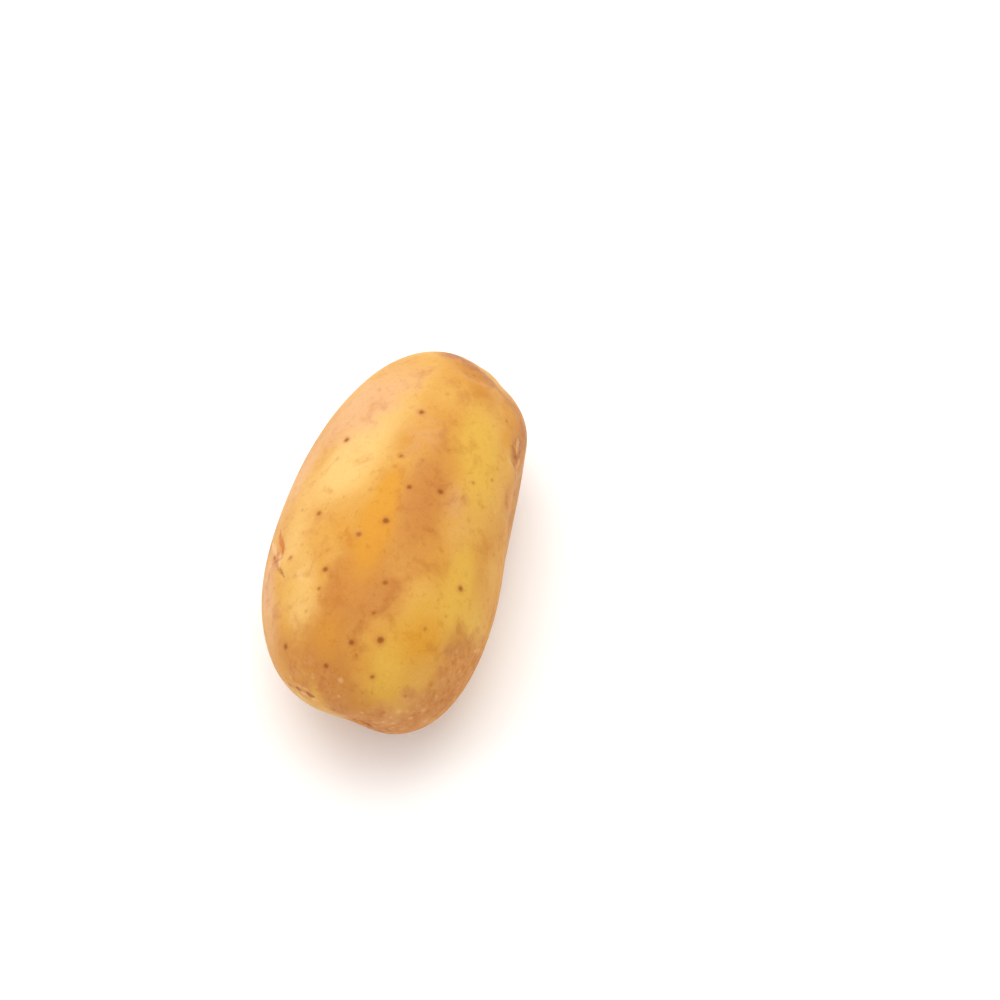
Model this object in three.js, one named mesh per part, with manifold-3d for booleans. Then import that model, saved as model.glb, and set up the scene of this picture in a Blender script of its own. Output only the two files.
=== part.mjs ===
// A raw potato lying on its side on a small flat spot. Millimetres, +Z up.
//
// The potato is one solid. Its long axis is X: -X is the heel end, where it hung on its stolon,
// and +X is the rose end, where the eyes crowd together. The origin is on the surface it rests on,
// under the middle of its box.
//
// The skin is a sphere of directions pushed out to a rounded, slightly squared oval. The oval is
// then tapered and bent along X, given broad swells and hollows, and dimpled by its eyes.

import * as THREE from 'three';
import { mergeVertices } from 'three/addons/utils/BufferGeometryUtils.js';
import Module from 'manifold-3d';

// Overall sizes of the plain oval, before the swells, hollows and rest spot.
const LENGTH = 114;
const WIDTH = 61.5;
const HEIGHT_ABOVE = 27.5; // from the long axis to the top
const HEIGHT_BELOW = 26.5; // from the long axis to the underside
const REST_DEPTH = 0.6; // how much of the underside the rest spot flattens

// How square the shape is: 2 is a true ellipse, and more is fuller.
const HEEL_FULLNESS = 2.4;
const ROSE_FULLNESS = 2.7;
const SECTION_FULLNESS = 2.1;

// How the shape changes from the heel to the rose.
const WIDTH_TAPER = -0.07; // share by which the rose end is slimmer than the middle
const HEIGHT_TAPER = -0.04;
const BEND = -4.5; // how far both ends lean to -Y
const BEND_MIDDLE = 0.33; // keeps the bent shape centred
const SWAY = -1.5; // how far the two halves lean opposite ways
const SWAY_MIDDLE = 0.6;

// Places on the skin are given by two numbers: along, from -1 at the heel to 1 at the rose, and
// around, in degrees about the long axis: 0 is +Y, 90 the top, 180 is -Y and 270 the underside.
// A swell's reach is its spread over the sphere of directions. A negative height is a hollow.
const SWELLS = [
  { along: 0.85, around: 145, reach: 0.35, height: -4 },
  { along: -0.93, around: 292, reach: 0.35, height: -4.5 },
  { along: 0.35, around: 215, reach: 0.35, height: 0.8 },
  { along: -0.45, around: 250, reach: 0.3, height: -0.8 },
  { along: 0.5, around: 320, reach: 0.35, height: -0.8 },
  { along: -0.25, around: 335, reach: 0.35, height: 0.7 },
  { along: -0.55, around: 95, reach: 0.35, height: 0.8 },
  { along: 0.3, around: 75, reach: 0.3, height: -0.7 },
  { along: 0.32, around: 182, reach: 0.22, height: -2.9 },
  { along: 0.62, around: 172, reach: 0.16, height: 1.4 },
  { along: 0.35, around: 38, reach: 0.22, height: -1.3 },
];

// An eye is a shallow dimple, longer around the potato than along it, with a low brow on its
// heel side. The eyes run in a spiral and stand closer together towards the rose end.
const EYES = [
  { along: -0.58, around: 151, width: 11, depth: 0.4 },
  { along: -0.34, around: 32, width: 12, depth: 0.7 },
  { along: -0.62, around: 258, width: 11, depth: 1 },
  { along: -0.12, around: 208, width: 12, depth: 1 },
  { along: 0.08, around: 332, width: 12, depth: 1.1 },
  { along: 0.44, around: 155, width: 11, depth: 0.6 },
  { along: 0.52, around: 268, width: 11, depth: 1 },
  { along: 0.66, around: 2, width: 10, depth: 1 },
  { along: 0.73, around: 109, width: 11, depth: 0.5 },
  { along: 0.84, around: 236, width: 9, depth: 0.9 },
  { along: 0.9, around: 340, width: 9, depth: 0.8 },
  { along: 0.965, around: 140, width: 8, depth: 1 },
];
const EYE_LENGTH_SHARE = 0.5; // an eye's size along the potato, as a share of its width
const BROW_HEIGHT = 0.5;
const BROW_OFFSET_SHARE = 0.42; // from the eye's middle to its brow, as a share of its width
const BROW_LENGTH_SHARE = 0.3; // the brow's size along the potato, as a share of the eye's width
const EYE_REACH = 9; // beyond this distance above or below the skin, an eye changes nothing

// The stolon scar is a round dimple at the heel end.
const SCAR = { along: -0.995, around: 190, width: 8, depth: 1.3 };

const EDGE_SPLITS = 19; // how often each edge of the starting icosahedron is split
const PROBE_STEP = 0.01; // the small turn that measures the directions along an eye

// The unit direction of a place on the skin.
function direction(along, around) {
  const across = Math.sqrt(1 - along * along);
  const turn = THREE.MathUtils.degToRad(around);
  return new THREE.Vector3(along, across * Math.cos(turn), across * Math.sin(turn));
}

// The height of all the swells and hollows in one direction.
function swellHeight(towards) {
  let height = 0;
  for (const swell of SWELLS) {
    const away = towards.distanceTo(direction(swell.along, swell.around)) / swell.reach;
    height += swell.height * Math.exp(-0.5 * away * away);
  }
  return height;
}

// The point of a unit squared oval in one direction: |x|^n + (|y|^m + |z|^m)^(n/m) = 1.
function squaredOval(towards) {
  const endShare = (1 + towards.x) / 2;
  const n = THREE.MathUtils.lerp(HEEL_FULLNESS, ROSE_FULLNESS, endShare);
  const m = SECTION_FULLNESS;
  const across = Math.pow(Math.abs(towards.y) ** m + Math.abs(towards.z) ** m, 1 / m);
  const size = Math.pow(Math.abs(towards.x) ** n + across ** n, -1 / n);
  return towards.clone().multiplyScalar(size);
}

// The oval's half sizes in one direction, because the underside is flatter than the top.
function halfSizes(towards) {
  const halfHeight = towards.z > 0 ? HEIGHT_ABOVE : HEIGHT_BELOW;
  return new THREE.Vector3(LENGTH / 2, WIDTH / 2, halfHeight);
}

// The potato's outward direction, taken from the plain ellipsoid of the same sizes.
function outward(towards) {
  return squaredOval(towards).divide(halfSizes(towards)).normalize();
}

// The smooth skin: the oval at its real size, tapered, bent and swollen.
function smoothSkin(towards) {
  const { x, y, z } = squaredOval(towards);
  const half = halfSizes(towards);
  const lean = BEND * (x * x - BEND_MIDDLE) + SWAY * (x ** 3 - SWAY_MIDDLE * x);
  const point = new THREE.Vector3(
    half.x * x,
    half.y * y * (1 + WIDTH_TAPER * x) + lean,
    half.z * z * (1 + HEIGHT_TAPER * x),
  );
  return point.addScaledVector(outward(towards), swellHeight(towards));
}

// An eye's own axes on the skin: its middle, towards the rose, around the potato, and outward.
function eyeFrame(place) {
  const middle = direction(place.along, place.around);
  const origin = smoothSkin(middle);
  const roseward = direction(Math.min(place.along + PROBE_STEP, 1), place.around);
  const sideways = direction(place.along, place.around + THREE.MathUtils.radToDeg(PROBE_STEP));
  const side = smoothSkin(sideways).sub(origin).normalize();
  const out = smoothSkin(roseward).sub(origin).cross(side).normalize();
  if (out.dot(outward(middle)) < 0) out.negate();
  const rose = side.clone().cross(out).normalize();
  if (rose.dot(smoothSkin(roseward).sub(origin)) < 0) rose.negate();
  return { origin, rose, side, out };
}

// How far a point lies from an eye's middle along each of the eye's axes.
function offsetFrom(frame, point) {
  const offset = point.clone().sub(frame.origin);
  return { u: offset.dot(frame.rose), v: offset.dot(frame.side), w: offset.dot(frame.out) };
}

// A smooth bump of height 1 and the given half sizes.
function bump(u, v, w, lengthways, sideways) {
  return Math.exp(-((u / lengthways) ** 2) - (v / sideways) ** 2 - (w / EYE_REACH) ** 2);
}

// The height that an eye adds to the skin: its dimple below and its brow above.
function eyeHeight(eye, point) {
  const { u, v, w } = offsetFrom(eye.frame, point);
  const halfWidth = eye.width / 2;
  const halfLength = halfWidth * EYE_LENGTH_SHARE;
  const browLength = eye.width * BROW_LENGTH_SHARE;
  const browAt = -eye.width * BROW_OFFSET_SHARE;
  const dimple = bump(u, v, w, halfLength, halfWidth);
  const brow = bump(u - browAt, v, w, browLength, halfWidth);
  return BROW_HEIGHT * brow - eye.depth * dimple;
}

// The depth of the stolon scar at a point.
function scarHeight(scar, point) {
  const { u, v, w } = offsetFrom(scar.frame, point);
  const radius = scar.width / 2;
  return -scar.depth * bump(u, v, w, radius, radius);
}

// The finished skin in one direction, lowered so that the rest spot's plane is at height 0.
function skinPoint(towards, eyes, scar) {
  const point = smoothSkin(towards);
  let height = scarHeight(scar, point);
  for (const eye of eyes) {
    height += eyeHeight(eye, point);
  }
  point.addScaledVector(outward(towards), height);
  point.z += HEIGHT_BELOW - REST_DEPTH;
  return point;
}

// The whole skin as one closed mesh, before its rest spot is cut.
function wholeSkin() {
  const sphere = new THREE.IcosahedronGeometry(1, EDGE_SPLITS);
  const geometry = withPositionsOnly(sphere);
  const eyes = EYES.map((eye) => ({ ...eye, frame: eyeFrame(eye) }));
  const scar = { ...SCAR, frame: eyeFrame(SCAR) };
  const corners = geometry.getAttribute('position');
  const towards = new THREE.Vector3();
  for (let i = 0; i < corners.count; i += 1) {
    towards.fromBufferAttribute(corners, i).normalize();
    const { x, y, z } = skinPoint(towards, eyes, scar);
    corners.setXYZ(i, x, y, z);
  }
  return geometry;
}

// The block of space below the surface that the potato rests on.
function spaceBelow() {
  const block = new THREE.BoxGeometry(2 * LENGTH, 2 * WIDTH, HEIGHT_BELOW);
  block.translate(0, 0, -HEIGHT_BELOW / 2);
  return withPositionsOnly(block);
}

// A geometry reduced to its shared corners, ready to become a solid.
function withPositionsOnly(geometry) {
  geometry.deleteAttribute('normal');
  geometry.deleteAttribute('uv');
  return mergeVertices(geometry);
}

// One solid minus another, as a geometry.
function cut(wasm, body, tool) {
  const [bodySolid, toolSolid] = [body, tool].map((geometry) => {
    const vertProperties = Float32Array.from(geometry.getAttribute('position').array);
    const triVerts = Uint32Array.from(geometry.index.array);
    return new wasm.Manifold(new wasm.Mesh({ numProp: 3, vertProperties, triVerts }));
  });
  const mesh = bodySolid.subtract(toolSolid).getMesh();
  const result = new THREE.BufferGeometry();
  result.setAttribute('position', new THREE.BufferAttribute(mesh.vertProperties, 3));
  result.setIndex(new THREE.BufferAttribute(mesh.triVerts, 1));
  return result;
}

// The finished potato, centred over the origin.
function potatoGeometry(wasm) {
  const geometry = cut(wasm, wholeSkin(), spaceBelow());
  geometry.computeBoundingBox();
  const middle = geometry.boundingBox.getCenter(new THREE.Vector3());
  geometry.translate(-middle.x, -middle.y, 0);
  geometry.computeVertexNormals();
  return geometry;
}

const wasm = await Module();
wasm.setup();

const skin = new THREE.MeshStandardMaterial({ color: 0xdcae63, roughness: 0.55, metalness: 0 });

const potato = new THREE.Mesh(potatoGeometry(wasm), skin);
potato.name = 'potato';

const part = new THREE.Group();
part.add(potato);

export default part;
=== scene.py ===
# %% [markdown]
# # A raw potato
#
# This lesson makes one potato: an oblong, thin-skinned tuber that lies on its belly. A potato is a
# good first natural object, because it is one closed surface with no parts to join, and because
# everything that makes it look real is either a gentle change of shape or a change of skin.
#
# The steps are the camera and studio, the smooth body, the eyes and scars, the pores, the mesh that
# carries them, and the skin's finish.
#
# The plain solid that this skin covers is loaded first. It gives the size and the place.

# %% Load the plain solid
import math

import bpy
import numpy as np
from mathutils import Matrix, Vector


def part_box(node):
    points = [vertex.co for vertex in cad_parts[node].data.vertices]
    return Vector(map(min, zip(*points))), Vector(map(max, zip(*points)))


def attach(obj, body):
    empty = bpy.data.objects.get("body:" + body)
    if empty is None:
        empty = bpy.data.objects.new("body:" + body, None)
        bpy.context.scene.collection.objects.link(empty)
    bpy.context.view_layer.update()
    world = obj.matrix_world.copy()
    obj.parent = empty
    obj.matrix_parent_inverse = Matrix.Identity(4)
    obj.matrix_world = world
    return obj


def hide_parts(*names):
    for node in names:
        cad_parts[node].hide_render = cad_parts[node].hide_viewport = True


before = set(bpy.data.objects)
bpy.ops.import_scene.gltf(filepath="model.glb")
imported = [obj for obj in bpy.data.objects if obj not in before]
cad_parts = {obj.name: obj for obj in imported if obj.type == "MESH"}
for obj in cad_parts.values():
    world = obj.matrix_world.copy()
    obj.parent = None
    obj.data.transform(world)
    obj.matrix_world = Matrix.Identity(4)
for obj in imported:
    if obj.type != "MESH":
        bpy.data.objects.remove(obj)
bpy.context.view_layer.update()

MM = 0.001
NODE = "potato"

box_low, box_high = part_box(NODE)
box_middle = (box_low + box_high) / 2
box_size = box_high - box_low
print("plain solid, mm:", [round(side / MM, 1) for side in box_size])

# %% [markdown]
# ## The camera
#
# The potato's rose end, where its buds crowd together, points away from the camera, and its heel
# comes towards it. The camera looks down steeply on the long back of the potato, from a little to
# the right of the heel, through a long lens, so that near and far end keep their true proportions.
#
# A camera could be aimed with a Track To constraint. Here its three axes are written out from an
# azimuth and an elevation, because then the horizon stays level and nothing has to be solved. The
# potato sits left of the middle of the frame and a little low, so the camera is moved sideways and
# up instead of being turned.

# %% Camera
AZIMUTH = math.radians(-74.7)
ELEVATION = math.radians(60)
LENS_MM = 110
SENSOR_MM = 36
CAMERA_DISTANCE = 811 * MM
CAMERA_RIGHT = 27.5 * MM
CAMERA_UP = 9.5 * MM


def view_axes(azimuth, elevation):
    """The camera's right, up and backward directions, worked out from two angles."""
    back = Vector((
        math.sin(azimuth) * math.cos(elevation),
        -math.cos(azimuth) * math.cos(elevation),
        math.sin(elevation),
    ))
    right = Vector((math.cos(azimuth), math.sin(azimuth), 0))
    return right, back.cross(right), back


def add_camera():
    """A long lens over the heel end: it faces the potato's middle, then moves right and up."""
    right, up, back = view_axes(AZIMUTH, ELEVATION)
    data = bpy.data.cameras.new("camera")
    data.lens = LENS_MM
    data.sensor_width = SENSOR_MM
    camera = bpy.data.objects.new("camera", data)
    turn = Matrix((right, up, back)).transposed().to_4x4()
    place = box_middle + CAMERA_DISTANCE * back + CAMERA_RIGHT * right + CAMERA_UP * up
    camera.matrix_world = Matrix.Translation(place) @ turn
    bpy.context.scene.collection.objects.link(camera)
    bpy.context.scene.camera = camera
    return camera


camera = add_camera()
print("camera at, m:", [round(value, 3) for value in camera.matrix_world.translation])

# %% [markdown]
# ## The studio
#
# A potato's skin is satin: it needs one broad light that rolls softly over it, and pale
# surroundings that fill the shadows. The broad light hangs beyond the rose end and a little to the
# left, so the far shoulder is brightest and the near end falls into warm shade. A weaker one on the
# left lifts the left edge, and the white world fills the rest.
#
# The floor is one plain, near-white sheet, large enough to fill any view. A curved backdrop would
# do the same, and needs more geometry.

# %% Floor
FLOOR_HALF = 4.0
FLOOR_WHITE = (0.97, 0.965, 0.96, 1)
FLOOR_ROUGHNESS = 0.9


def plain_material(name, colour, roughness):
    """A material of one colour, for things that aren't part of the potato."""
    material = bpy.data.materials.new(name)
    material.use_nodes = True
    shader = material.node_tree.nodes["Principled BSDF"]
    shader.inputs["Base Color"].default_value = colour
    shader.inputs["Roughness"].default_value = roughness
    return material


def add_floor():
    """A square sheet at the height of the rest spot, with its face up."""
    corners = [(-1, -1), (1, -1), (1, 1), (-1, 1)]
    mesh = bpy.data.meshes.new("floor")
    mesh.from_pydata([(x * FLOOR_HALF, y * FLOOR_HALF, 0) for x, y in corners], [], [(0, 1, 2, 3)])
    mesh.materials.append(plain_material("floor paper", FLOOR_WHITE, FLOOR_ROUGHNESS))
    floor = bpy.data.objects.new("floor", mesh)
    bpy.context.scene.collection.objects.link(floor)
    return floor


floor = add_floor()
print("floor, m:", 2 * FLOOR_HALF, "square")

# %% Lights
WORLD_STRENGTH = 0.88
# Each light: azimuth and elevation in degrees, distance and size in metres, watts, and colour.
LIGHTS = {
    "key light": (112, 66, 1.2, 1.5, 11.5, (1.0, 0.985, 0.96)),
    "fill light": (-160, 40, 1.3, 0.8, 2.0, (0.97, 0.985, 1.0)),
}


def add_area_light(name, azimuth, elevation, distance, size, power, colour):
    """A square light that hangs in one direction from the potato and faces it."""
    data = bpy.data.lights.new(name, "AREA")
    data.size = size
    data.energy = power
    data.color = colour
    light = bpy.data.objects.new(name, data)
    _, _, back = view_axes(math.radians(azimuth), math.radians(elevation))
    light.location = box_middle + distance * back
    light.rotation_euler = back.to_track_quat("Z", "Y").to_euler()
    bpy.context.scene.collection.objects.link(light)
    return light


def add_world():
    """Even white surroundings."""
    world = bpy.data.worlds.new("studio")
    world.use_nodes = True
    background = world.node_tree.nodes["Background"]
    background.inputs["Color"].default_value = (1, 1, 1, 1)
    background.inputs["Strength"].default_value = WORLD_STRENGTH
    bpy.context.scene.world = world


add_world()
for name, settings in LIGHTS.items():
    add_area_light(name, *settings)
bpy.context.scene.view_settings.view_transform = "Standard"
print("lights:", [item.name for item in bpy.data.lights])

# %% [markdown]
# ## The smooth body
#
# A tuber swells from a stem, so its shape is an oval that is a little squared, fuller at one end,
# bent, and pressed in where it grew against stones. It could be sculpted by hand. A formula is
# used instead, because every size then stays a named value, and every later step can ask the same
# formula where a point of the skin is.
#
# Each point of the skin is named by a direction from the middle of the potato. Two numbers give a
# direction: `along`, from -1 at the heel to 1 at the rose end, and `around`, in degrees about the
# long axis, with 90 on top and 270 on the underside. Sizes from here on are in millimetres, until
# the mesh is made.

# %% Body sizes
LENGTH = 114
WIDTH = 61.5
HEIGHT_ABOVE = 27.5
HEIGHT_BELOW = 26.5
REST_DEPTH = 0.6
# How square the oval is: 2 is a true ellipse, and more is fuller.
HEEL_FULLNESS = 2.4
ROSE_FULLNESS = 2.7
SECTION_FULLNESS = 2.1
# The share by which the rose end is slimmer and lower than the middle.
WIDTH_TAPER = -0.07
HEIGHT_TAPER = -0.04
# How far both ends lean one way, and how far the two halves lean opposite ways.
BEND = -4.5
BEND_MIDDLE = 0.33
SWAY = -1.5
SWAY_MIDDLE = 0.6

# Broad swells and hollows: along, around, reach over the sphere of directions, height in mm.
SWELLS = [
    (0.85, 145, 0.35, -4),
    (-0.93, 292, 0.35, -4.5),
    (0.35, 215, 0.35, 0.8),
    (-0.45, 250, 0.3, -0.8),
    (0.5, 320, 0.35, -0.8),
    (-0.25, 335, 0.35, 0.7),
    (-0.55, 95, 0.35, 0.8),
    (0.3, 75, 0.3, -0.7),
    (0.32, 182, 0.22, -2.9),
    (0.62, 172, 0.16, 1.4),
    (0.35, 38, 0.22, -1.3),
]


def direction(along, around):
    """The unit direction of a place: x is along, and y and z turn about the long axis."""
    across = np.sqrt(1 - np.square(along))
    turn = np.radians(around)
    return np.stack([along + 0 * turn, across * np.cos(turn), across * np.sin(turn)], -1)


def bell(distance):
    """A smooth bump: 1 at distance 0, falling as e to the power of minus the distance squared."""
    return np.exp(-np.square(distance))


def spots_field(towards, spots):
    """A sum of bells over the sphere of directions. A spot is (along, around, reach, height)."""
    field = np.zeros(towards.shape[:-1])
    for along, around, reach, height in spots:
        away = np.linalg.norm(towards - direction(along, around), axis=-1)
        field += height * bell(away / (reach * math.sqrt(2)))
    return field


def squared_oval(towards):
    """The direction pushed out to |x|^n + (|y|^m + |z|^m)^(n/m) = 1, with n growing along x."""
    x, y, z = np.moveaxis(towards, -1, 0)
    n = HEEL_FULLNESS + (ROSE_FULLNESS - HEEL_FULLNESS) * (1 + x) / 2
    m = SECTION_FULLNESS
    across = (np.abs(y) ** m + np.abs(z) ** m) ** (1 / m)
    size = (np.abs(x) ** n + across**n) ** (-1 / n)
    return towards * size[..., None]


def half_sizes(towards):
    """The oval's half length, half width and half height. The underside is a little flatter."""
    up = np.where(towards[..., 2] > 0, HEIGHT_ABOVE, HEIGHT_BELOW)
    return np.stack([np.full_like(up, LENGTH / 2), np.full_like(up, WIDTH / 2), up], -1)


def outward(towards):
    """The way out of the plain ellipsoid of the same sizes: the oval's point over half sizes."""
    way = squared_oval(towards) / half_sizes(towards)
    return way / np.linalg.norm(way, axis=-1, keepdims=True)


def smooth_skin(towards):
    """The oval in mm: tapered along x, leant sideways by a parabola and a cubic, then swollen."""
    x, y, z = np.moveaxis(squared_oval(towards), -1, 0)
    half = half_sizes(towards)
    lean = BEND * (x**2 - BEND_MIDDLE) + SWAY * (x**3 - SWAY_MIDDLE * x)
    point = np.stack([
        half[..., 0] * x,
        half[..., 1] * y * (1 + WIDTH_TAPER * x) + lean,
        half[..., 2] * z * (1 + HEIGHT_TAPER * x),
    ], -1)
    return point + spots_field(towards, SWELLS)[..., None] * outward(towards)


print("top of the smooth body, mm above its axis:", smooth_skin(direction(0, 90)).round(1)[2])

# %% [markdown]
# ## The grid of directions
#
# The skin is one sheet of four-sided faces, wrapped round the long axis as a map is wrapped round a
# globe, with a pole at the heel and a pole at the rose end. Both poles are good places to hide: the
# stem scar covers one and the end bud the other.
#
# Rows at equal angles would crowd at the poles and stretch along the flanks. So the four outlines
# are measured first, over the top, the underside and both flanks, and the rows are spaced evenly
# along them.

# %% Grid
ROWS = 300
COLUMNS = 328
OUTLINE_STEPS = 4001


def even_rows(count):
    """Angles from heel to rose, at equal steps of the distance walked over the skin: the sum over
    the two flanks, the top and the underside."""
    angle = np.linspace(0, math.pi, OUTLINE_STEPS)
    walked = np.zeros(OUTLINE_STEPS)
    for side in (0, 90, 180, 270):
        line = smooth_skin(direction(-np.cos(angle), side))
        steps = np.linalg.norm(np.diff(line, axis=0), axis=1)
        walked[1:] += np.cumsum(steps)
    wanted = np.linspace(0, walked[-1], count + 2)[1:-1]
    return np.interp(wanted, walked, angle)


row_angles = even_rows(ROWS)
column_angles = np.linspace(0, 360, COLUMNS, endpoint=False)
grid_directions = direction(-np.cos(row_angles)[:, None], column_angles[None, :])
pole_directions = np.array([[-1.0, 0, 0], [1.0, 0, 0]])
directions = np.concatenate([grid_directions.reshape(-1, 3), pole_directions])
smooth_points = smooth_skin(directions)
ways_out = outward(directions)
print("skin points:", len(directions))

# %% [markdown]
# ## Eyes
#
# An eye is the place of a scale leaf: a shallow, crescent-shaped dip with a low brow over it on the
# heel side, and small buds in the dip. Eyes run round the potato in a spiral, and they are closer
# together near the rose end. On a smooth, thin-skinned potato they are about a millimetre deep.
#
# Each eye gets its own three axes on the skin: towards the rose, around the potato and outward. The
# brow and the crease under it are bells laid along a bent line, so they curve as a real brow does.

# %% Eye shape
# Each eye: along, around, width in mm, depth in mm.
EYES = [
    (-0.58, 151, 11, 0.4),
    (-0.34, 32, 12, 0.7),
    (-0.62, 258, 11, 1.0),
    (-0.12, 208, 12, 1.0),
    (0.08, 332, 12, 1.1),
    (0.44, 155, 11, 0.6),
    (0.52, 268, 11, 1.0),
    (0.66, 2, 10, 1.0),
    (0.73, 109, 11, 0.5),
    (0.84, 236, 9, 0.9),
    (0.90, 340, 9, 0.8),
    (0.965, 140, 8, 1.0),
]
EYE_LENGTH_SHARE = 0.5
BROW_HEIGHT = 0.5
BROW_OFFSET_SHARE = 0.42
BROW_LENGTH_SHARE = 0.3
BROW_CURVE = 0.35
CREASE_DEPTH = 0.2
CREASE_OFFSET_SHARE = 0.16
CREASE_WIDTH = 0.8
CREASE_LENGTH_SHARE = 0.7
CREASE_DARKNESS = 0.8
BROW_ROUGHNESS = 0.7
BUD_HEIGHT = 0.5
BUD_RADIUS = 0.9
# Each bud: mm towards the rose, place around as a share of the eye's width, and size.
BUD_PLACES = [(0.5, 0.0, 1.0), (0.9, 0.26, 0.6), (0.1, -0.24, 0.5)]
# Beyond this distance above or below the skin, an eye or a scar changes nothing.
SKIN_REACH = 9
# The small turn that measures the directions along the skin.
PROBE = 0.01


def place_axes(along, around):
    """The middle of a place on the skin, and its directions to the rose, around and outward."""
    middle = direction(along, around)
    origin = smooth_skin(middle)
    roseward = smooth_skin(direction(min(along + PROBE, 1), around)) - origin
    side = smooth_skin(direction(along, around + math.degrees(PROBE))) - origin
    side /= np.linalg.norm(side)
    out = np.cross(roseward, side)
    out /= np.linalg.norm(out)
    out *= np.sign(out @ outward(middle))
    rose = np.cross(side, out)
    rose *= np.sign(rose @ roseward)
    return origin, rose, side, out


def offsets(place, points):
    """How far each point lies from a place: towards the rose, around and outward, in mm."""
    origin, rose, side, out = place_axes(*place)
    away = points - origin
    return away @ rose, away @ side, away @ out


def eye_layers(eye, points):
    """An eye's height in mm, and masks of its dark crease and buds and of its rough brow and dip.
    Dip, brow and crease are bells of the distance across them times bells of the distance along."""
    along, around, width, depth = eye
    u, v, w = offsets((along, around), points)
    half_width = width / 2
    near = bell(w / SKIN_REACH)
    sideways = bell(v / half_width) * near
    arc = u - BROW_CURVE * v**2 / half_width
    dimple = bell(u / (half_width * EYE_LENGTH_SHARE)) * sideways
    brow = bell((arc + width * BROW_OFFSET_SHARE) / (width * BROW_LENGTH_SHARE)) * sideways
    crease = bell((arc + width * CREASE_OFFSET_SHARE) / CREASE_WIDTH)
    crease = crease * bell(v / (CREASE_LENGTH_SHARE * half_width)) * near
    buds = np.zeros(len(points))
    for roseward, around_share, size in BUD_PLACES:
        away = np.hypot(u - roseward, v - around_share * width)
        buds = np.maximum(buds, size * bell(away / (BUD_RADIUS * size)) * near)
    height = BROW_HEIGHT * brow - depth * (dimple + CREASE_DEPTH * crease - BUD_HEIGHT * buds)
    dark = depth * np.maximum(CREASE_DARKNESS * crease, buds)
    return height, dark, np.maximum(BROW_ROUGHNESS * brow, dimple)


relief = np.zeros(len(directions))
creases = np.zeros(len(directions))
eye_skin = np.zeros(len(directions))
for eye in EYES:
    height, crease, around_eye = eye_layers(eye, smooth_points)
    relief += height
    creases = np.maximum(creases, crease)
    eye_skin = np.maximum(eye_skin, around_eye)
print("eyes:", len(EYES), "deepest, mm:", round(float(relief.min()), 2))

# %% [markdown]
# ## Stem scar, marks and lumps
#
# At the heel a round, rough-edged dent shows where the stem came away. It has a worn stub in its
# middle, with a dark, uneven ring round it. The marks are where the skin was hurt and healed: slits
# lie open and orange, flakes are curled cream skin, and cracks are thin and dark. All of them thin
# away towards both ends. Lumps are so low that nobody sees them as shapes, but they break up the
# long highlight, and without them the skin looks like plastic.
#
# A displacement texture could add lumps. Seeded bells are used, because they are the same on every
# run and their places are known to the steps that follow.

# %% Scar, marks and lumps
SCAR = (-0.995, 190)
SCAR_RADIUS = 4.0
SCAR_DEPTH = 1.3
SCAR_RIM_HEIGHT = 0.35
SCAR_RIM_WIDTH = 1.2
SCAR_STUB_HEIGHT = 0.8
SCAR_STUB_RADIUS = 1.1
SCAR_RING_RADIUS = 1.9
SCAR_RING_WIDTH = 0.8
SCAR_RING_DEPTH = 0.2
# Waves that make the ring uneven: how many go round it, their share of its size, and their turn.
SCAR_WAVES = [(2, 0.14, 0.4), (3, 0.12, 1.0), (5, 0.09, 2.2), (11, 0.05, 0.7)]

# Each mark is a line between two places: along, around, along, around, half width in mm, height in
# mm, strength. Slits are open and orange inside, flakes are raised cream skin, and cracks are dark.
SLITS = [
    (-0.21, 28, -0.36, 36.5, 1.0, -0.35, 1.4),
    (0.15, 243, 0.24, 250, 0.9, -0.25, 0.7),
]
FLAKES = [
    (-0.24, 20, -0.34, 29, 1.1, 0.06, 0.8),
    (-0.31, 30, -0.42, 38, 0.9, 0.04, 0.9),
    (-0.44, 50, -0.49, 57, 1.2, 0.03, 0.5),
    (-0.80, 2, -0.87, 8, 1.2, 0.05, 0.5),
    (-0.87, 16, -0.92, 32, 1.2, 0.03, 0.6),
    (-0.85, 24, -0.90, 42, 1.0, 0.03, 0.5),
    (-0.92, 30, -0.94, 46, 1.1, 0.04, 0.5),
    (0.56, 157, 0.47, 158, 1.1, 0.05, 0.6),
    (0.50, 166, 0.42, 163, 0.9, 0.05, 0.5),
    (-0.50, 166, -0.46, 174, 0.9, 0.04, 0.5),
    (-0.74, 158, -0.77, 164, 0.9, 0.04, 0.5),
]
CRACKS = [
    (-0.32, 24, -0.46, 43, 1.0, -0.18, 0.75),
    (-0.835, 7, -0.86, 16, 0.8, -0.1, 0.8),
    (-0.872, 20, -0.894, 27, 0.9, -0.12, 1.1),
    (-0.903, 32, -0.922, 40, 0.9, -0.12, 1.1),
    (0.45, 155, 0.49, 164, 0.8, -0.1, 0.6),
    (-0.40, 279, -0.33, 289, 0.7, -0.2, 0.6),
    (0.30, 188, 0.36, 196, 0.7, -0.15, 0.4),
]
# Two waves bend the marks: their heights in mm, their radians in a mm, and their starts on x, y, z.
WANDER = (0.25, 0.14)
WANDER_TURNS = (0.9, 2.3)
WANDER_STARTS = ([0, 1, 2], [2, 0, 1])
# How wide a mark is at its very ends, as a share of its middle.
THIN_END = 0.15
LUMP_COUNT = 170
LUMP_RADIUS = (3.0, 9.0)
LUMP_HEIGHT = 0.13
SEED = 20


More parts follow.
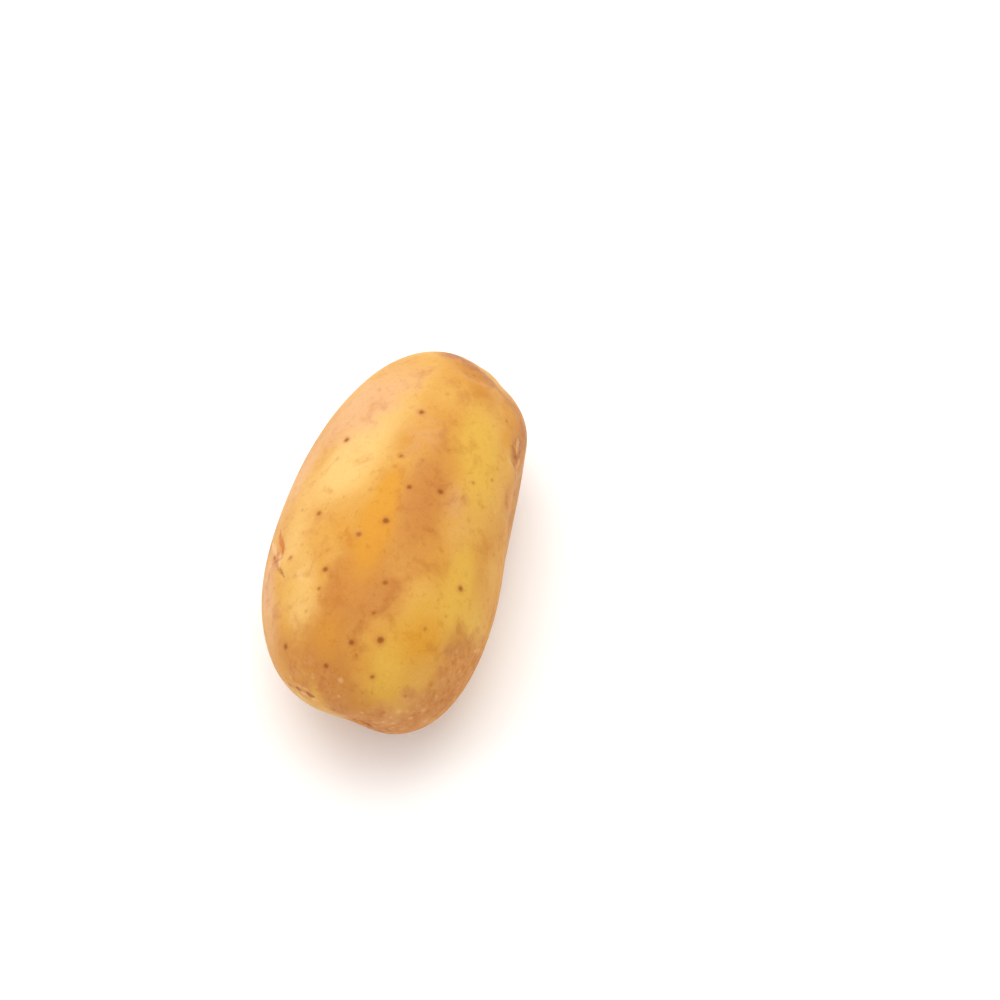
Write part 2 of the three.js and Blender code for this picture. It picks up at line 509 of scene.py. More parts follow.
def scar_layers(points):
    """The stem scar's height in mm: a round bell pressed in, with a rim and a stub raised and a
    ring cut round the stub. Also masks of its rough skin and of the ring, whose radius and width
    are swung by sines of the angle round the scar."""
    u, v, w = offsets(SCAR, points)
    from_middle = np.hypot(u, v)
    near = bell(w / SKIN_REACH)
    dent = bell(from_middle / SCAR_RADIUS) * near
    rim = bell((from_middle - SCAR_RADIUS) / SCAR_RIM_WIDTH) * near
    stub = bell(from_middle / SCAR_STUB_RADIUS) * near
    around = np.arctan2(v, u)
    uneven = 1 + sum(share * np.sin(count * around + turn) for count, share, turn in SCAR_WAVES)
    ring = bell((from_middle - SCAR_RING_RADIUS * uneven) / (SCAR_RING_WIDTH * uneven**2)) * near
    height = SCAR_RIM_HEIGHT * rim - SCAR_DEPTH * dent + SCAR_STUB_HEIGHT * stub
    return height - SCAR_RING_DEPTH * ring, np.maximum(dent, rim), ring


def wandering(points):
    """Every point nudged by crossed waves, so that a straight line drawn through them wanders:
    each of x, y and z moves by a sine of the next one and by a quicker sine of the one after."""
    slow = np.sin(WANDER_TURNS[0] * points[:, [1, 2, 0]] + WANDER_STARTS[0])
    quick = np.sin(WANDER_TURNS[1] * points[:, [2, 0, 1]] + WANDER_STARTS[1])
    return points + WANDER[0] * slow + WANDER[1] * quick


def line_bell(ends, half_width, points):
    """A bell over the distance from the line between two places, thinning away towards both."""
    start = smooth_skin(direction(*ends[:2]))
    run = smooth_skin(direction(*ends[2:])) - start
    share = np.clip((points - start) @ run / (run @ run), 0, 1)
    away = np.linalg.norm(points - start - share[:, None] * run, axis=1)
    return bell(away / (half_width * (THIN_END + (1 - THIN_END) * np.sin(math.pi * share))))


def mark_layers(marks, points):
    """A kind of mark's height in mm, and its mask."""
    height = np.zeros(len(points))
    mask = np.zeros(len(points))
    for *ends, half_width, rise, strength in marks:
        across = line_bell(ends, half_width, points)
        height += rise * across
        mask = np.maximum(mask, strength * across)
    return height, mask


random = np.random.default_rng(SEED)


def lump_field(points):
    """Low bells of random height and radius round random points of the skin."""
    field = np.zeros(len(points))
    for middle in points[random.choice(len(points), LUMP_COUNT)]:
        radius = random.uniform(*LUMP_RADIUS)
        height = random.uniform(-LUMP_HEIGHT, LUMP_HEIGHT)
        field += height * bell(np.linalg.norm(points - middle, axis=1) / radius)
    return field


scar_relief, scar_skin, scar_ring = scar_layers(smooth_points)
relief += scar_relief
wandering_points = wandering(smooth_points)
mark_masks = {}
for name, marks in (("slit", SLITS), ("flake", FLAKES), ("crack", CRACKS)):
    height, mark_masks[name] = mark_layers(marks, wandering_points)
    relief += height
relief += lump_field(smooth_points)
print("relief, mm:", relief.min().round(2), "to", relief.max().round(2))

# %% [markdown]
# ## Pores
#
# A tuber breathes through small corky pores. They are 1 to 2 mm across, dark brown in the middle
# with a warm brown ring, and each stands a little proud of the skin with a dimple in it.
#
# A cell texture could scatter them, but it spaces them too evenly. The ones on the long back, where
# everybody looks, are listed one by one, and the rest are thrown at random and kept apart.

# %% Pore places
# Each pore: along, around, radius in mm, darkness.
PORES_ON_BACK = [
    (0.42, 90, 0.75, 0.95), (0.23, 56, 0.8, 0.95), (0.02, 98, 0.75, 0.85), (0.05, 113, 0.8, 0.95),
    (-0.18, 92, 0.9, 1.0), (-0.27, 81, 0.9, 0.7), (-0.18, 57, 0.85, 0.75), (-0.44, 68, 0.85, 0.85),
    (-0.33, 137, 0.9, 0.8), (-0.71, 88, 0.8, 0.85), (-0.67, 104, 0.9, 1.0), (-0.73, 38, 0.9, 0.8),
    (-0.81, 71, 0.8, 0.8), (-0.81, 106, 0.65, 0.75), (-0.58, 97, 0.6, 0.75),
    (-0.45, 99, 0.75, 0.8), (0.17, 89, 0.6, 0.7), (0.11, 88, 0.7, 0.5), (0.18, 100, 0.65, 0.5),
    (-0.15, 45, 0.7, 0.4), (-0.09, 68, 0.6, 0.3), (0.00, 69, 0.6, 0.3), (-0.04, 80, 0.75, 0.4),
    (-0.36, 67, 0.65, 0.35), (-0.38, 45, 0.8, 0.6), (-0.52, 66, 0.6, 0.7), (-0.51, 95, 0.6, 0.4),
    (-0.61, 59, 0.7, 0.4), (-0.22, 121, 0.8, 0.4), (-0.07, 155, 0.7, 0.4), (-0.17, 119, 0.6, 0.3),
    (-0.40, 127, 0.55, 0.4), (-0.47, 134, 0.55, 0.4), (-0.75, 92, 0.6, 0.5),
    (-0.88, 103, 0.7, 0.3), (-0.82, 136, 0.6, 0.5), (0.58, 143, 0.65, 0.6), (0.50, 132, 0.7, 0.35),
    (0.31, 141, 0.8, 0.35), (0.24, 139, 0.75, 0.5), (0.17, 128, 0.65, 0.5), (0.13, 133, 0.7, 0.4),
    (0.27, 111, 0.65, 0.4), (-0.03, 110, 0.8, 0.4), (-0.56, 125, 0.75, 0.5),
]
SCATTERED_PORES = 190
PORE_GAP = 6.5
PORE_RADIUS = (0.4, 0.9)
PORE_DARKNESS = (0.15, 0.9)
# How dark the scattered ones stay on the upper half, where they only fill in between the others.
PORE_SHARE_ON_BACK = 0.45
# Heights in mm, and reaches as shares of a pore's radius.
PORE_RISE = 0.09
PORE_RISE_SHARE = 1.6
PORE_PIT = 0.2
PORE_PIT_SHARE = 0.7
PORE_RING_SHARE = 1.9
# How sharply a dot ends: 2 is a plain bell.
PORE_EDGE = 2.5


def pore_middles():
    """Every pore's middle on the smooth skin in mm, with its radius and darkness."""
    placed = [(smooth_skin(direction(along, around)), radius, darkness)
              for along, around, radius, darkness in PORES_ON_BACK]
    for middle in smooth_points[random.permutation(len(smooth_points))]:
        if len(placed) == len(PORES_ON_BACK) + SCATTERED_PORES:
            break
        taken = np.array([pore[0] for pore in placed])
        if np.linalg.norm(taken - middle, axis=1).min() > PORE_GAP:
            darkness = PORE_DARKNESS[0] + np.ptp(PORE_DARKNESS) * random.random() ** 2
            darkness *= PORE_SHARE_ON_BACK if middle[2] > 0 else 1
            placed.append((middle, random.uniform(*PORE_RADIUS), darkness))
    return placed


def pore_layers(points):
    """Masks of the pores and of their warm rings, and the pores' height in mm. A dot is e to the
    power of minus the distance to a power. Its height is a wide bell less a narrow one."""
    dots = np.zeros(len(points))
    rings = np.zeros(len(points))
    height = np.zeros(len(points))
    for middle, radius, darkness in pore_middles():
        away = np.linalg.norm(points - middle, axis=1) / radius
        dots = np.maximum(dots, darkness * np.exp(-(away**PORE_EDGE)))
        rings = np.maximum(rings, darkness * bell(away / PORE_RING_SHARE))
        rise = PORE_RISE * bell(away / PORE_RISE_SHARE)
        height += darkness * (rise - PORE_PIT * bell(away / PORE_PIT_SHARE))
    return dots, rings, height


pore_dots, pore_rings, pore_height = pore_layers(smooth_points)
relief += pore_height
print("pores:", len(PORES_ON_BACK) + SCATTERED_PORES)

# %% [markdown]
# ## Where the colours lie
#
# Clean skin is gold, and it varies in broad patches: yellower where it is thinnest, browner where
# it was rubbed, pink where a blush comes through, and a rough, dull brown at the ends, round the
# eyes and where it touched a stone. The brown and amber patches on the flank away from the key light
# are partly painted shade, and the pale ones high on the flank that faces it are partly a painted
# highlight. Dry purple-brown bands run along the shoulder and the heel, and on the rose end's
# shoulder they are partly painted shade.
# Specks are small crumbs of scurf, pale or brown, and they lie only on the rough skin. Each of these
# is one number on every point of the mesh, from 0 to 1. The material reads these numbers and gives
# the patches ragged edges.
#
# Painting them by hand would work as well. Bells over the sphere of directions keep them soft, and
# the far side gets its own, thrown at random.

# %% Patch places
# Each patch: along, around, reach, strength.
# Brown patches: rubbed skin, and painted shade on the flank away from the key light, from about 145
# to 180 around.
BROWN_AND_SHADE_PATCHES = [
    (0.12, 104, 0.17, 0.36), (0.00, 110, 0.20, 0.42), (-0.10, 104, 0.13, 0.25),
    (-0.22, 110, 0.13, 0.25), (-0.44, 84, 0.19, 0.7), (-0.54, 78, 0.12, 0.4),
    (-0.50, 90, 0.15, 0.35), (-0.78, 68, 0.15, 0.9), (-0.76, 36, 0.13, 0.6),
    (-0.55, 147, 0.10, 0.6), (0.50, 162, 0.10, 0.7), (0.30, 170, 0.14, 0.7),
    (-0.76, 165, 0.2, 0.5), (-0.87, 78, 0.12, 0.6), (-0.95, 104, 0.14, 0.6),
    (-0.97, 60, 0.12, 0.5), (0.10, 174, 0.12, 0.6), (0.86, 75, 0.08, 0.5), (-0.20, 178, 0.12, 0.5),
    (-0.48, 106, 0.10, 0.35), (0.72, 114, 0.10, 0.7), (0.52, 147, 0.07, 0.45),
    (0.22, 155, 0.10, 0.4), (0.68, 148, 0.10, 0.9), (0.60, 162, 0.10, 0.9), (0.54, 168, 0.08, 0.8),
    (0.42, 166, 0.08, 0.6), (0.84, 80, 0.08, 0.6), (0.80, 98, 0.09, 0.7),
]
YELLOW_PATCHES = [
    (0.39, 124, 0.16, 0.8), (0.20, 134, 0.14, 0.6), (-0.42, 138, 0.15, 0.7),
    (-0.52, 118, 0.12, 0.4), (-0.74, 112, 0.15, 0.6), (-0.86, 122, 0.12, 0.4),
    (-0.22, 135, 0.12, 0.5), (-0.42, 158, 0.12, 0.5),
]
# Amber patches: orange skin, and painted shade on the flank away from the key light, from about 145
# to 176 around.
AMBER_AND_SHADE_PATCHES = [
    (0.05, 89, 0.07, 0.45), (-0.06, 89, 0.09, 0.55), (-0.18, 88, 0.09, 0.8),
    (-0.34, 86, 0.13, 0.7), (-0.24, 70, 0.09, 0.3), (-0.64, 118, 0.12, 0.4),
    (-0.58, 130, 0.12, 0.5), (-0.70, 72, 0.12, 0.5), (0.66, 146, 0.12, 0.7),
    (0.34, 163, 0.09, 0.7), (0.12, 166, 0.10, 0.6), (-0.08, 170, 0.10, 0.6),
    (-0.30, 176, 0.10, 0.4), (0.80, 100, 0.08, 0.5), (0.47, 144, 0.08, 0.6),
    (0.68, 116, 0.07, 0.6),
]
# Pale patches: paler skin, and a painted highlight high on the flank that faces the key light, from
# about 60 to 78 around.
PALE_AND_HIGHLIGHT_PATCHES = [
    (0.13, 60, 0.15, 0.65), (0.04, 68, 0.15, 0.35), (0.10, 100, 0.10, 0.25),
    (0.55, 78, 0.22, 0.35), (0.28, 74, 0.16, 0.45), (-0.14, 46, 0.18, 0.45),
    (-0.38, 44, 0.13, 0.35), (-0.60, 66, 0.09, 0.4), (-0.46, 58, 0.08, 0.4), (-0.9, 8, 0.07, 0.6),
    (-0.10, 128, 0.12, 0.35), (-0.63, 52, 0.09, 0.5),
]
PINK_PATCHES = [
    (0.39, 58, 0.17, 0.65), (0.55, 72, 0.18, 0.4), (0.02, 120, 0.10, 0.5), (-0.5, 94, 0.1, 0.3),
    (-0.27, 81, 0.035, 0.8), (-0.92, 170, 0.25, 0.6), (0.45, 40, 0.2, 0.5), (-0.38, 26, 0.12, 0.6),
    (0.50, 160, 0.06, 0.4), (-0.62, 22, 0.16, 0.6), (0.10, 28, 0.16, 0.6), (-0.08, 100, 0.1, 0.4),
    (0.28, 97, 0.12, 0.45), (-0.975, 70, 0.12, 0.6), (-0.985, 150, 0.12, 0.6),
]
ROUGH_PATCHES = [
    (0.51, 158, 0.05, 0.6), (-0.56, 158, 0.10, 0.5), (-0.68, 158, 0.11, 0.6),
    (-0.52, 182, 0.12, 0.5), (-0.80, 162, 0.11, 0.6), (-0.70, 190, 0.16, 0.6),
    (-0.88, 190, 0.2, 0.7), (-0.93, 240, 0.25, 0.7), (-0.88, 26, 0.10, 0.5),
    (-0.33, 30, 0.06, 0.4), (0.10, 176, 0.14, 0.3), (-0.93, 130, 0.14, 0.4),
    (-0.62, 22, 0.10, 0.2), (0.97, 60, 0.12, 0.5), (-0.80, 52, 0.16, 0.45), (-0.90, 76, 0.12, 0.4),
]
# Lines of dry, purple-brown skin, given as the marks are, with no height. Those along the rose end's
# shoulder, from (0.88, 58) to (0.32, 166), are partly painted shade where that edge turns from the
# light.
DRY_AND_SHADE_LINES = [
    (0.88, 58, 0.86, 76, 2.6, 0, 0.5), (0.865, 72, 0.835, 94, 3.8, 0, 0.8),
    (0.835, 90, 0.80, 112, 3.8, 0, 0.8), (0.79, 110, 0.76, 136, 3.2, 0, 0.7),
    (0.75, 134, 0.69, 166, 2.8, 0, 0.5), (0.66, 160, 0.54, 172, 3.0, 0, 0.6),
    (0.56, 157, 0.49, 162, 2.8, 0, 0.8), (0.49, 152, 0.42, 160, 2.0, 0, 0.6),
    (0.44, 158, 0.32, 166, 2.0, 0, 0.4), (-0.62, 138, -0.53, 152, 1.5, 0, 0.4),
    (-0.55, 147, -0.48, 158, 2.2, 0, 0.4), (-0.955, 46, -0.985, 110, 1.8, 0, 0.4),
    (-0.985, 110, -0.95, 178, 1.8, 0, 0.45), (-0.93, 190, -0.97, 235, 4.0, 0, 0.5),
    (0.20, 200, 0.05, 214, 3.0, 0, 0.4), (-0.40, 330, -0.25, 345, 3.0, 0, 0.4),
    (0.62, 300, 0.70, 330, 3.0, 0, 0.4),
]
print("dry lines:", len(DRY_AND_SHADE_LINES))

# %% Patch masks
FAR_SIDE_PATCHES = 16
FAR_SIDE_ALONG = (-0.95, 0.95)
# From the right flank, under the potato, to the left flank.
FAR_SIDE_AROUND = (175, 370)
FAR_SIDE_REACH = (0.1, 0.24)
FAR_SIDE_WEAKEST = 0.2
# Each kind: its patches, and the greatest strength of a random one on the far side.
PATCHES = {
    # The brown patches are partly painted shade on the flank away from the key light.
    "brown_and_shade": (BROWN_AND_SHADE_PATCHES, 0.8),
    "yellow": (YELLOW_PATCHES, 0.7),
    # The amber patches are partly painted shade on the flank away from the key light.
    "amber_and_shade": (AMBER_AND_SHADE_PATCHES, 0.7),
    # The pale patches are partly a painted highlight on the flank that faces the key light.
    "pale_and_highlight": (PALE_AND_HIGHLIGHT_PATCHES, 0.5),
    "pink": (PINK_PATCHES, 0.5),
    "rough": (ROUGH_PATCHES, 0.5),
}


def far_side_patches(strongest):
    """Random patches on the half that the listed ones leave bare: the underside and flanks."""
    spots = []
    for _ in range(FAR_SIDE_PATCHES):
        along = random.uniform(*FAR_SIDE_ALONG)
        around = random.uniform(*FAR_SIDE_AROUND)
        reach = random.uniform(*FAR_SIDE_REACH)
        spots.append((along, around, reach, random.uniform(FAR_SIDE_WEAKEST, strongest)))
    return spots


def patch_mask(patches, strongest):
    """The sum of a kind's patches, on both sides of the potato, kept between 0 and 1."""
    return np.clip(spots_field(directions, patches + far_side_patches(strongest)), 0, 1)


patch_masks = {name: patch_mask(*settings) for name, settings in PATCHES.items()}
print("patches:", sum(len(patches) + FAR_SIDE_PATCHES for patches, _ in PATCHES.values()))

# %% Rough skin and specks
EYE_ROUGHNESS = 0.35
SCAR_ROUGHNESS = 0.8
# Specks lie only where the skin is rougher than this.
ROUGH_ENOUGH = 0.35
PALE_SPECKS = 130
BROWN_SPECKS = 170
SPECK_RADIUS = (0.35, 1.0)
SPECK_STRENGTH = (0.3, 1.0)


def speck_mask(count, places):
    """A bell on each of many random points among the given ones, of random radius and strength."""
    mask = np.zeros(len(smooth_points))
    for middle in smooth_points[random.choice(places, count)]:
        away = np.linalg.norm(smooth_points - middle, axis=1)
        speck = bell(away / random.uniform(*SPECK_RADIUS))
        mask = np.maximum(mask, random.uniform(*SPECK_STRENGTH) * speck)
    return mask


rough = patch_masks["rough"] + EYE_ROUGHNESS * eye_skin + SCAR_ROUGHNESS * scar_skin
rough = np.clip(rough, 0, 1)
rough_places = np.flatnonzero(rough > ROUGH_ENOUGH)
MASKS = {
    **patch_masks,
    **mark_masks,
    "rough": rough,
    # Dry skin, and painted shade along the rose end's shoulder.
    "dry_and_shade": mark_layers(DRY_AND_SHADE_LINES, wandering_points)[1],
    "dark": np.clip(creases + scar_ring, 0, 1),
    "pale_speck": speck_mask(PALE_SPECKS, rough_places),
    "brown_speck": speck_mask(BROWN_SPECKS, rough_places),
    "pore": pore_dots,
    "pore_ring": pore_rings,
}
for name, mask in MASKS.items():
    print(f"{name}: mean {mask.mean():.3f}, most {mask.max():.2f}")

# %% [markdown]
# ## The skin mesh
#
# Every point of the grid is moved out by its relief. The underside is then pressed against the
# table: a height below the table becomes almost 0, with a soft turn where the skin leaves it. Last,
# the skin is set in the middle of the plain solid's box.

# %% Mesh
REST_SOFTNESS = 0.12


def pressed_flat(height):
    """A soft maximum of the height and 0: the mean of the height and of the square root of its
    square plus the softness squared."""
    return (height + np.sqrt(height**2 + REST_SOFTNESS**2)) / 2


def skin_points():
    """The finished points in metres, in the frame of the plain solid."""
    points = smooth_points + relief[:, None] * ways_out
    points[:, 2] = pressed_flat(points[:, 2] + HEIGHT_BELOW - REST_DEPTH)
    middle = (points.min(0) + points.max(0)) / 2
    points[:, :2] -= middle[:2]
    return points * MM + np.array([box_middle.x, box_middle.y, box_low.z])


def wrap_corners():
    """Row and column of every face corner on the flat, unwrapped sheet. A cell's corners go round
    so that it faces outwards. Row -1 is the heel's pole and row ROWS is the rose end's, and there a
    corner stands halfway between its two neighbours."""
    row, column = np.meshgrid(np.arange(ROWS - 1), np.arange(COLUMNS), indexing="ij")
    cell = np.stack([row, column], -1).reshape(-1, 1, 2)
    cells = cell + np.array([[0, 0], [0, 1], [1, 1], [1, 0]])
    edge = np.stack([np.zeros(COLUMNS), np.arange(COLUMNS)], -1)[:, None, :]
    heel_fan = edge + np.array([[-1, 0.5], [0, 1], [0, 0]])
    rose_fan = edge + np.array([[ROWS, 0.5], [ROWS - 1, 0], [ROWS - 1, 1]])
    return [cells, heel_fan, rose_fan]


def corner_points(corners):
    """The mesh point of each corner. The last column closes onto the first."""
    row, column = corners[..., 0], corners[..., 1]
    on_grid = row * COLUMNS + np.floor(column) % COLUMNS
    heel, rose = ROWS * COLUMNS, ROWS * COLUMNS + 1
    return np.where(row < 0, heel, np.where(row == ROWS, rose, on_grid)).astype(int)


def corner_map(corners):
    """The map place of each corner: its column's share of a turn, its row's share of the way."""
    return np.stack([corners[..., 1] / COLUMNS, (corners[..., 0] + 1) / (ROWS + 1)], -1)


def build_skin():
    """The mesh, its map and its masks."""
    sheets = wrap_corners()
    mesh = bpy.data.meshes.new("potato skin")
    faces = [face for sheet in sheets for face in corner_points(sheet).tolist()]
    mesh.from_pydata(skin_points(), [], faces)
    places = np.concatenate([corner_map(sheet).reshape(-1, 2) for sheet in sheets])
    mesh.uv_layers.new(name="OFBake").uv.foreach_set("vector", places.astype(np.float32).ravel())
    for name, mask in MASKS.items():
        layer = mesh.attributes.new(name, "FLOAT", "POINT")
        layer.data.foreach_set("value", mask.astype(np.float32))
    mesh.shade_smooth()
    return mesh


skin_mesh = build_skin()
print("faces:", len(skin_mesh.polygons))

# %% [markdown]
# ## The skin's finish
#
# Potato skin is a thin, dry cork over pale yellow flesh: nearly matt, with a soft sheen on the
# clean parts and none on the rough ones. Its colour is built up as a painter would: gold first,
# then the broad patches with their painted highlight and painted shade, then mottling, then the
# rough brown and the dry brown, which is partly painted shade, and the marks, pores and creases
# last.
#
# One group of nodes turns a smooth mask into a ragged one. It is used for every kind of patch, with
# that patch's own raggedness, so it is made once with named sockets. Colours are written as the
# numbers of a colour picker, from 0 to 255, and turned into the linear values that the shader wants.

# %% Node helpers
def linear(red, green, blue):
    """A colour picker's colour as linear light, with full alpha. The darkest part of a screen's
    curve is a straight line, and the rest is a power of 2.4."""
    shares = np.array([red, green, blue]) / 255
    light = np.where(shares <= 0.04045, shares / 12.92, ((shares + 0.055) / 1.055) ** 2.4)
    return (*light.tolist(), 1.0)


def add(tree, kind, inputs=None, **settings):
    """A node of one kind, with its settings. An input, called by its name or its number, is a plain
    value or another node's output."""
    node = tree.nodes.new(kind)
    for name, value in settings.items():
        setattr(node, name, value)
    for name, value in (inputs or {}).items():
        if isinstance(value, bpy.types.NodeSocket):
            tree.links.new(value, node.inputs[name])
        else:
            node.inputs[name].default_value = value
    return node


def arithmetic(tree, operation, first, second):
    """One Math node's output."""
    return add(tree, "ShaderNodeMath", {0: first, 1: second}, operation=operation).outputs[0]


def ramp(tree, value, low, high, to_low=0.0, to_high=1.0):
    """A value that goes smoothly from to_low to to_high as its input goes from low to high."""
    inputs = {
        "Value": value,
        "From Min": low,
        "From Max": high,
        "To Min": to_low,
        "To Max": to_high,
    }
    return add(tree, "ShaderNodeMapRange", inputs, interpolation_type="SMOOTHSTEP").outputs[0]


def mixed(tree, share, under, over, blend="MIX"):
    """Two colours mixed by a share: under at 0 and over at 1. A Mix node keeps its colours in
    numbered sockets, because the named ones are for plain numbers."""
    inputs = {0: share, 6: under, 7: over}
    return add(tree, "ShaderNodeMix", inputs, data_type="RGBA", blend_type=blend).outputs[2]


def attribute(tree, name):
    """One of the mesh's masks as it is."""
    return add(tree, "ShaderNodeAttribute", attribute_name=name).outputs["Fac"]


# %% Ragged mask group
CLOUD_MIDDLE = 0.5
# The torn mask's values, between which the patch goes from nothing to full.
TORN_RANGE = (0.1, 0.85)


def ragged_mask_group():
    """A mask with cloudy edges: the mask plus the cloud's swing about its middle, made steeper.
    Where the mask is 0 it stays near 0, because the steep part begins above most of the swing."""
    group = bpy.data.node_groups.new("ragged mask", "ShaderNodeTree")
    for name, kind, default in (
        ("Mask", "NodeSocketFloat", 0.0),
        ("Cloud", "NodeSocketFloat", CLOUD_MIDDLE),
        ("Raggedness", "NodeSocketFloat", 0.5),
    ):
        socket = group.interface.new_socket(name=name, in_out="INPUT", socket_type=kind)
        socket.default_value = default
    group.interface.new_socket(name="Mask", in_out="OUTPUT", socket_type="NodeSocketFloat")
    given = group.nodes.new("NodeGroupInput").outputs
    swing = arithmetic(group, "SUBTRACT", given["Cloud"], CLOUD_MIDDLE)
    swing = arithmetic(group, "MULTIPLY", swing, given["Raggedness"])
    torn = arithmetic(group, "ADD", given["Mask"], swing)
    add(group, "NodeGroupOutput", {"Mask": ramp(group, torn, *TORN_RANGE)})
    return group


RAGGED_MASK = ragged_mask_group()


def ragged(tree, mask_name, cloud_value, raggedness):
    """One of the mesh's masks with ragged edges."""
    inputs = {
        "Mask": attribute(tree, mask_name),
        "Cloud": cloud_value,
        "Raggedness": raggedness,
    }
    return add(tree, "ShaderNodeGroup", inputs, node_tree=RAGGED_MASK).outputs["Mask"]


print("group:", RAGGED_MASK.name, "with", len(RAGGED_MASK.nodes), "nodes")

# %% Clouds
# Each cloud: how many go in a metre, its detail, its roughness and its distortion.
CLOUDS = {
    "broad": (42, 2.0, 0.55, 0.0),
    "middle": (150, 4.0, 0.6, 0.4),
    "small": (480, 4.0, 0.65, 0.0),
    "fine": (900, 3.0, 0.6, 0.0),
    "net": (430, 5.0, 0.78, 0.2),
    "grain": (1700, 3.0, 0.6, 0.0),
}


def cloud(tree, place, scale, detail, roughness, distortion):
    """A cloudy value about 0.5."""
    inputs = {
        "Vector": place,
        "Scale": scale,
        "Detail": detail,
        "Roughness": roughness,
        "Distortion": distortion,
    }
    return add(tree, "ShaderNodeTexNoise", inputs).outputs["Fac"]


def skin_clouds(tree):
    """The clouds that the skin is mottled with, fixed to the potato by its own coordinates."""
    place = add(tree, "ShaderNodeTexCoord").outputs["Object"]
    return {name: cloud(tree, place, *settings) for name, settings in CLOUDS.items()}


print("clouds:", ", ".join(CLOUDS))

# %% Palette
GOLD = linear(211, 160, 76)
DEEP_GOLD = linear(200, 140, 56)
YELLOW = linear(213, 168, 68)
# Orange skin, and also painted shade on the flank away from the key light.
AMBER_AND_SHADE = linear(207, 144, 38)
# Paler skin, and also the painted highlight on the flank that faces the key light.
PALE_AND_HIGHLIGHT = linear(224, 184, 112)
PINK = linear(214, 165, 119)
# Brown skin, and also painted shade on the flank away from the key light.
BROWN_AND_SHADE = linear(188, 124, 54)
ROUGH_BROWN = linear(182, 112, 54)
ROUGH_TAN = linear(202, 144, 86)
# Dry skin, and also painted shade along the rose end's shoulder.
DRY_AND_SHADE_BROWN = linear(156, 94, 58)
SLIT_ORANGE = linear(188, 106, 42)
FLAKE_CREAM = linear(226, 178, 124)
CRACK_BROWN = linear(136, 70, 30)
PORE_RING = linear(180, 104, 38)
PORE_BROWN = linear(130, 64, 4)
MOTTLE = linear(214, 168, 112)
print("clean gold as linear light:", [round(light, 3) for light in GOLD[:3]])

# %% Skin colour
# Two values of a cloud, between which one colour turns into another.
GOLD_RANGE = (0.35, 0.68)
SCURF_RANGE = (0.34, 0.68)

# Each layer: its mask, its colour, the cloud that tears its edges, how ragged they are, and the
# most of it that covers what lies below.
BROAD_LAYERS = [
    ("yellow", YELLOW, "middle", 0.6, 0.9),
    # The pale layer is partly a painted highlight on the flank that faces the key light.
    ("pale_and_highlight", PALE_AND_HIGHLIGHT, "middle", 0.4, 0.9),
    ("pink", PINK, "middle", 1.0, 0.8),
    # The brown layer is partly painted shade on the flank away from the key light.
    ("brown_and_shade", BROWN_AND_SHADE, "middle", 1.0, 0.9),
    # The amber layer is partly painted shade on the flank away from the key light.
    ("amber_and_shade", AMBER_AND_SHADE, "middle", 0.7, 0.8),
]
ROUGH_RAGGEDNESS = 1.1
ROUGH_MOST = 0.75
SMALL_LAYERS = [
    # The dry layer is partly painted shade along the rose end's shoulder.
    ("dry_and_shade", DRY_AND_SHADE_BROWN, "small", 0.8, 0.68),
    ("brown_speck", ROUGH_BROWN, "fine", 0.5, 0.75),
    ("pale_speck", FLAKE_CREAM, "fine", 0.5, 0.4),
    ("flake", FLAKE_CREAM, "fine", 0.9, 0.75),
    ("slit", SLIT_ORANGE, "fine", 0.4, 0.8),
    ("pore_ring", PORE_RING, "fine", 0.4, 0.4),
    ("pore", PORE_BROWN, "fine", 0.4, 0.8),
    ("crack", CRACK_BROWN, "fine", 0.8, 0.7),
    ("dark", CRACK_BROWN, "fine", 0.7, 0.6),
]

# Each mottling: its cloud, the values where it begins and is full, and how strong it is then.
MOTTLINGS = [
    ("middle", 0.50, 0.70, 0.32),
    ("small", 0.56, 0.72, 0.26),
    ("grain", 0.3, 0.7, 0.12),
]


def covered(tree, clouds, colour, mask_name, over, cloud_name, raggedness, most):
    """A colour with one layer laid over it, where the layer's ragged mask says."""
    mask = ragged(tree, mask_name, clouds[cloud_name], raggedness)
    return mixed(tree, arithmetic(tree, "MULTIPLY", mask, most), colour, over)


def skin_colour(tree, clouds):
    """The skin's colour, from the clean gold up to the pores and creases."""
    colour = mixed(tree, ramp(tree, clouds["broad"], *GOLD_RANGE), GOLD, DEEP_GOLD)
    for layer in BROAD_LAYERS:
        colour = covered(tree, clouds, colour, *layer)
    for cloud_name, low, high, most in MOTTLINGS:
        share = ramp(tree, clouds[cloud_name], low, high, to_high=most)
        colour = mixed(tree, share, colour, MOTTLE, "MULTIPLY")
    scurf = mixed(tree, ramp(tree, clouds["net"], *SCURF_RANGE), ROUGH_BROWN, ROUGH_TAN)
    rough_layer = ("rough", scurf, "middle", ROUGH_RAGGEDNESS, ROUGH_MOST)
    colour = covered(tree, clouds, colour, *rough_layer)
    for layer in SMALL_LAYERS:
        colour = covered(tree, clouds, colour, *layer)
    return colour


print("colour layers:", len(BROAD_LAYERS) + len(SMALL_LAYERS) + 1)

# %% Skin surface
SHEEN_ROUGHNESS = 0.48
DULL_ROUGHNESS = 0.72
# How much of the rough mask leaves the skin satin, and how much makes it fully dull.
DULL_RANGE = (0.05, 0.8)
# A cloud's range, and how far it swings the roughness up and down.
SWING_RANGE = (0.3, 0.7)
ROUGHNESS_SWING = (-0.06, 0.08)
# The rough mask's range, and how strong the scurf's relief is on clean and on rough skin.
SCURF_RELIEF_RANGE = (0.1, 0.9)
SCURF_RELIEF = (0.4, 1.3)
GRAIN_RELIEF = 0.45
BUMP_STRENGTH = 0.8
BUMP_DEPTH = 0.12 * MM
# Light sinks a little way into the flesh, and red light sinks furthest.
UNDER_SKIN_GLOW = 0.12
GLOW_REACH = (3.5 * MM, 1.6 * MM, 0.6 * MM)
# Cork mirrors little light: varnish would be 0.5.
SHINE = 0.15


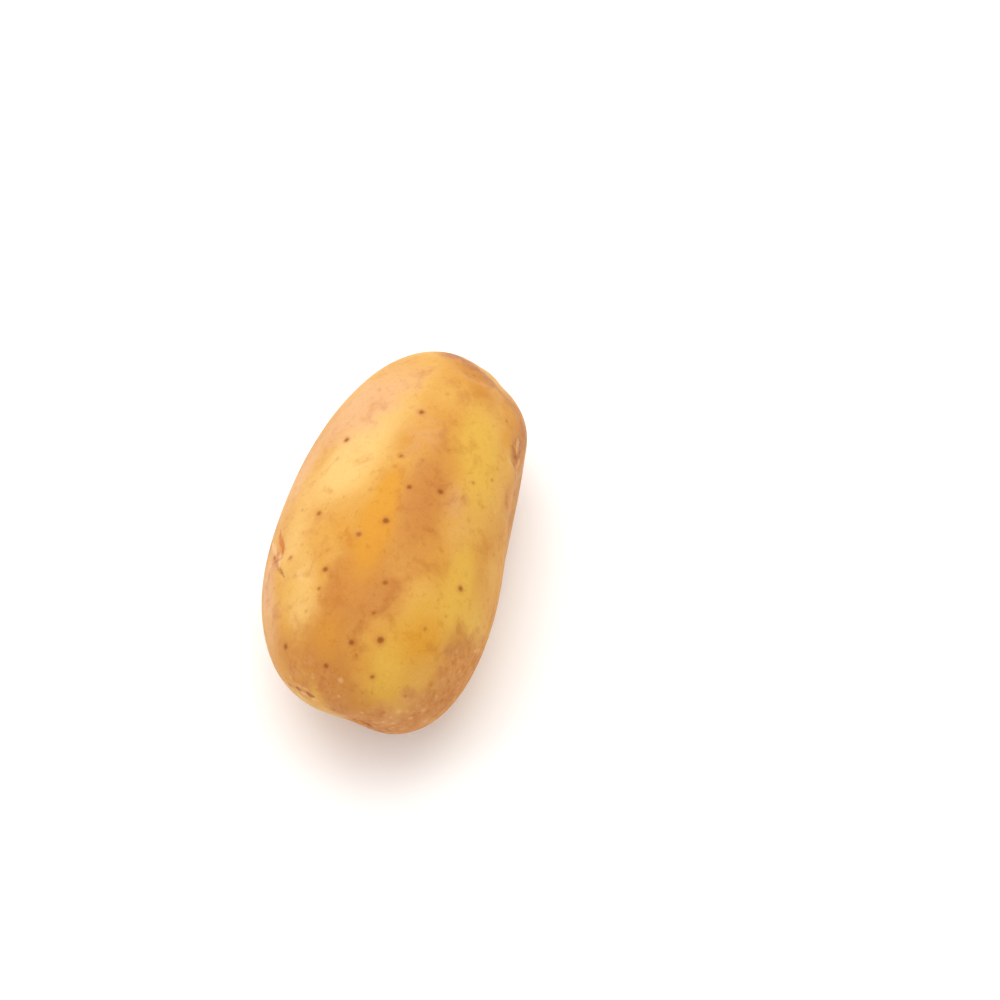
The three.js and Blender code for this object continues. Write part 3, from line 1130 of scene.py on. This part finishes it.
def skin_roughness(tree, clouds):
    """Satin where the skin is clean, and dull where it is rough, with a little cloudiness."""
    rough_share = attribute(tree, "rough")
    base = ramp(tree, rough_share, *DULL_RANGE, SHEEN_ROUGHNESS, DULL_ROUGHNESS)
    swing = ramp(tree, clouds["small"], *SWING_RANGE, *ROUGHNESS_SWING)
    return arithmetic(tree, "ADD", base, swing)


def skin_height(tree, clouds):
    """The relief that is too small for the mesh: grain everywhere, and scurf where it is rough."""
    scurf_share = ramp(tree, attribute(tree, "rough"), *SCURF_RELIEF_RANGE, *SCURF_RELIEF)
    scurf = arithmetic(tree, "MULTIPLY", clouds["small"], scurf_share)
    grain = arithmetic(tree, "MULTIPLY", clouds["grain"], GRAIN_RELIEF)
    return arithmetic(tree, "ADD", scurf, grain)


def skin_material():
    """The finish of the whole potato."""
    material = bpy.data.materials.new("potato skin")
    material.use_nodes = True
    tree = material.node_tree
    shader = tree.nodes["Principled BSDF"]
    clouds = skin_clouds(tree)
    bump = add(tree, "ShaderNodeBump", {
        "Strength": BUMP_STRENGTH,
        "Distance": BUMP_DEPTH,
        "Height": skin_height(tree, clouds),
    })
    tree.links.new(skin_colour(tree, clouds), shader.inputs["Base Color"])
    tree.links.new(skin_roughness(tree, clouds), shader.inputs["Roughness"])
    tree.links.new(bump.outputs["Normal"], shader.inputs["Normal"])
    shader.inputs["Specular IOR Level"].default_value = SHINE
    shader.inputs["Subsurface Weight"].default_value = UNDER_SKIN_GLOW
    shader.inputs["Subsurface Radius"].default_value = GLOW_REACH
    shader.inputs["Subsurface Scale"].default_value = 1.0
    return material


skin_mesh.materials.append(skin_material())
print("material:", skin_mesh.materials[0].name)

# %% [markdown]
# ## Putting it in place
#
# The finished skin stands for the plain solid, which is hidden. It rides on the one body that the
# potato has.

# %% Place the skin
potato_skin = bpy.data.objects.new("potato_skin", skin_mesh)
bpy.context.scene.collection.objects.link(potato_skin)
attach(potato_skin, "root")
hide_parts(NODE)
